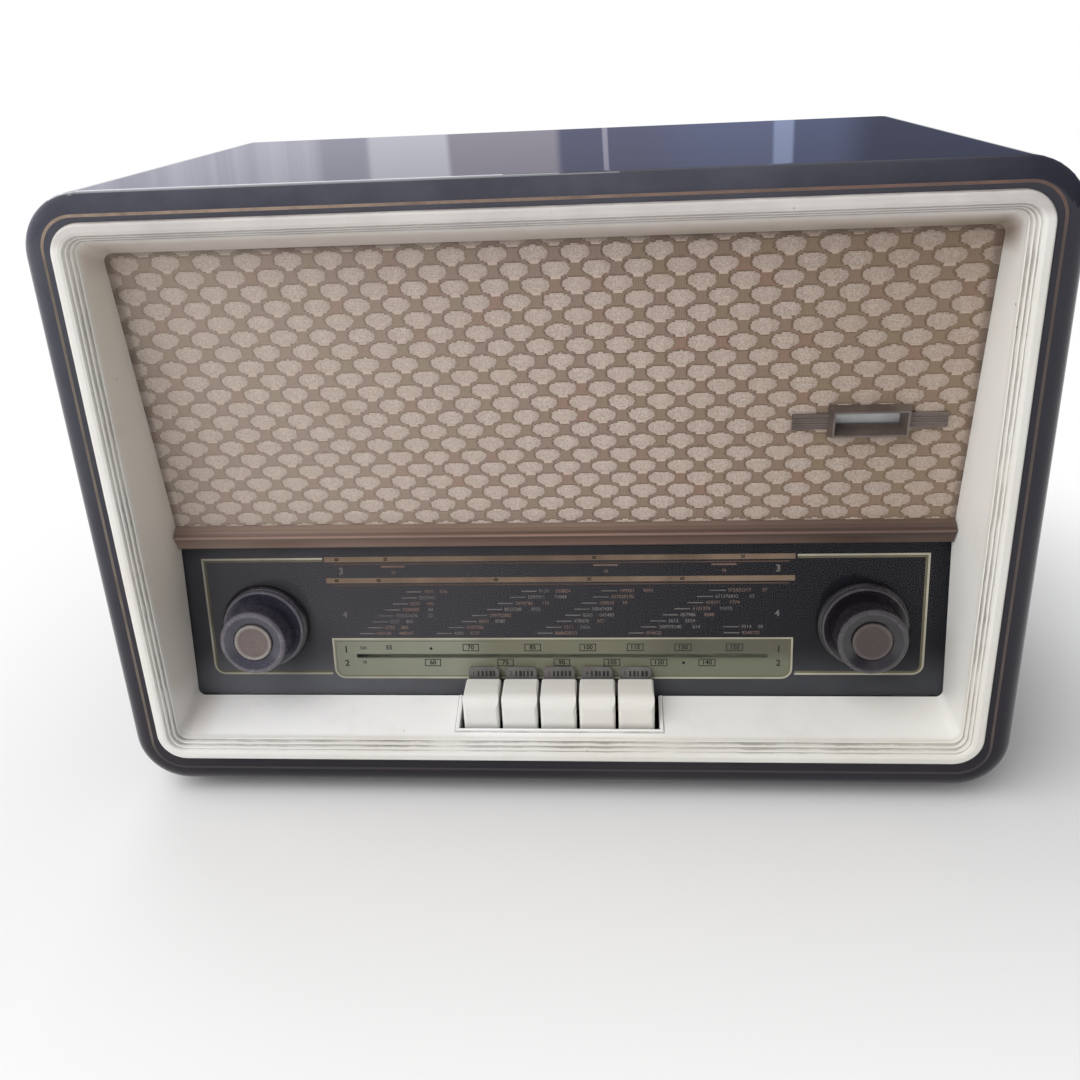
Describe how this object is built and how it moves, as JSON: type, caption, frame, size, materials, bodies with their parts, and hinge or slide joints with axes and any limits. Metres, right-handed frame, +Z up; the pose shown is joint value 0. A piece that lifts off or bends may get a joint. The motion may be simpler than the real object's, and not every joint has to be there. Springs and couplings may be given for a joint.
{
  "type": "tube radio",
  "caption": "Tabletop valve radio: rounded wooden cabinet, ivory bezel, woven grille, glass dial with sliding pointers, concentric rotary controls and a row of band keys.",
  "frame": {"origin": "centre of the footprint, on the table under the feet", "axes": "+X to the right seen from the front, -Y to the front, +Z up"},
  "size_m": [0.5, 0.2712, 0.352],
  "materials": {
    "cabinet_lacquer": "high-gloss lacquer",
    "inlay": "satin",
    "feet_rubber": "matt",
    "ivory_plastic": "semi-gloss, aged",
    "baffle_wood": "raw",
    "grille_fabric": "woven",
    "copper_trim": "satin lacquer",
    "dial_glass": "back-printed",
    "reflector_paint": "satin",
    "plated_steel": "zinc plated",
    "bright_steel": "ground",
    "label_strip": "satin",
    "bronze_plastic": "metallised",
    "eye_tube_glass": "clear",
    "clamp_board": "matt",
    "basket_steel": "satin",
    "cone_paper": "pressed paper",
    "magnet_iron": "painted",
    "zinc_fasteners": "zinc plated",
    "chassis_steel": "zinc plated",
    "transformer_iron": "varnished",
    "can_aluminium": "satin",
    "socket_board": "matt",
    "tube_glass": "clear",
    "passivated_steel": "yellow passivated",
    "plate_aluminium": "rolled",
    "paper_board": "matt",
    "pot_steel": "plated",
    "back_board": "pressed fibre board",
    "dark_bakelite": "semi-gloss",
    "ferrite": "matt",
    "lamp_glass": "clear",
    "knob_plastic": "gloss",
    "cap_metal": "matt",
    "pointer_brass": "painted",
    "key_ivory": "semi-gloss"
  },
  "bodies": {
    "housing": {"cabinet": "cabinet_lacquer", "front_inlay": "inlay", "feet": "feet_rubber", "bezel": "ivory_plastic", "baffle_board": "baffle_wood", "grille_cloth": "grille_fabric", "divider_bar": "copper_trim", "dial_glass": "dial_glass", "dial_backplate": "reflector_paint", "dial_frame": "plated_steel", "pointer_rail": "bright_steel", "key_labels": "label_strip", "eye_escutcheon": "bronze_plastic", "eye_tube": "eye_tube_glass", "eye_clamp": "clamp_board", "speaker_basket": "basket_steel", "speaker_cone": "cone_paper", "speaker_magnet": "magnet_iron", "speaker_nuts": "zinc_fasteners", "chassis": "chassis_steel", "chassis_screws": "zinc_fasteners", "mains_transformer": "transformer_iron", "output_transformer": "transformer_iron", "filter_capacitor": "can_aluminium", "tube_sockets": "socket_board", "tubes": "tube_glass", "if_cans": "can_aluminium", "fm_tuner_case": "can_aluminium", "capacitor_frame": "passivated_steel", "capacitor_stator": "plate_aluminium", "key_frame": "plated_steel", "key_pivot_rod": "bright_steel", "band_switch": "paper_board", "tone_volume_pot": "pot_steel", "back_panel": "back_board", "back_screws": "zinc_fasteners", "socket_panel": "paper_board", "voltage_selector": "dark_bakelite", "mains_grommet": "feet_rubber", "ferrite_antenna": "ferrite", "dial_lamps": "lamp_glass"},
    "volume": {"volume_knob": "knob_plastic", "volume_cap": "cap_metal", "volume_shaft": "bright_steel"},
    "tone": {"tone_ring": "knob_plastic"},
    "tuning": {"tuning_knob": "knob_plastic", "tuning_cap": "cap_metal", "tuning_shaft": "bright_steel"},
    "fm_tuning": {"fm_ring": "knob_plastic"},
    "capacitor": {"capacitor_rotor": "plate_aluminium"},
    "am_carriage": {"am_pointer": "pointer_brass"},
    "fm_carriage": {"fm_pointer": "pointer_brass"},
    "key_body_1": {"key_1": "key_ivory"},
    "key_body_2": {"key_2": "key_ivory"},
    "key_body_3": {"key_3": "key_ivory"},
    "key_body_4": {"key_4": "key_ivory"},
    "key_body_5": {"key_5": "key_ivory"}
  },
  "joints": [
    {"name": "volume_turn", "type": "hinge", "parent": "housing", "child": "volume", "pos_m": [-0.173, -0.09425, 0.09384], "axis": [0, 0.9934, -0.1149], "range_deg": [0, 290]},
    {"name": "tone_turn", "type": "hinge", "parent": "housing", "child": "tone", "pos_m": [-0.173, -0.09425, 0.09384], "axis": [0, 0.9934, -0.1149], "range_deg": [0, 270]},
    {"name": "tuning_turn", "type": "hinge", "parent": "housing", "child": "tuning", "pos_m": [0.173, -0.09425, 0.09384], "axis": [0, 0.9934, -0.1149], "range_deg": [0, 1800]},
    {"name": "fm_tuning_turn", "type": "hinge", "parent": "housing", "child": "fm_tuning", "pos_m": [0.173, -0.09425, 0.09384], "axis": [0, 0.9934, -0.1149], "range_deg": [-1333, 106]},
    {"name": "capacitor_turn", "type": "hinge", "parent": "housing", "child": "capacitor", "pos_m": [0.095, 0.00155, 0.097], "axis": [0, 1, 0], "range_deg": [0, 180]},
    {"name": "am_pointer_slide", "type": "slide", "parent": "housing", "child": "am_carriage", "axis": [1, 0, 0], "range_m": [0, 0.216]},
    {"name": "fm_pointer_slide", "type": "slide", "parent": "housing", "child": "fm_carriage", "axis": [1, 0, 0], "range_m": [-0.2, 0.016]},
    {"name": "key_1_press", "type": "hinge", "parent": "housing", "child": "key_body_1", "pos_m": [-0.0446, -0.04645, 0.04], "axis": [1, 0, 0], "range_deg": [0, 5], "stiffness_Nm_per_rad": 0.6, "springref_deg": -6.88},
    {"name": "key_2_press", "type": "hinge", "parent": "housing", "child": "key_body_2", "pos_m": [-0.0223, -0.04645, 0.04], "axis": [1, 0, 0], "range_deg": [0, 5], "stiffness_Nm_per_rad": 0.6, "springref_deg": -6.88},
    {"name": "key_3_press", "type": "hinge", "parent": "housing", "child": "key_body_3", "pos_m": [0, -0.04645, 0.04], "axis": [1, 0, 0], "range_deg": [0, 5], "stiffness_Nm_per_rad": 0.6, "springref_deg": -6.88},
    {"name": "key_4_press", "type": "hinge", "parent": "housing", "child": "key_body_4", "pos_m": [0.0223, -0.04645, 0.04], "axis": [1, 0, 0], "range_deg": [0, 5], "stiffness_Nm_per_rad": 0.6, "springref_deg": -6.88},
    {"name": "key_5_press", "type": "hinge", "parent": "housing", "child": "key_body_5", "pos_m": [0.0446, -0.04645, 0.04], "axis": [1, 0, 0], "range_deg": [0, 5], "stiffness_Nm_per_rad": 0.6, "springref_deg": -6.88}
  ],
  "couplings": [
    {"joint": "capacitor_turn", "follows": "tuning_turn", "ratio": 0.1},
    {"joint": "am_pointer_slide", "follows": "tuning_turn", "m_per_rad": 0.00687},
    {"joint": "fm_pointer_slide", "follows": "fm_tuning_turn", "m_per_rad": 0.00859}
  ]
}
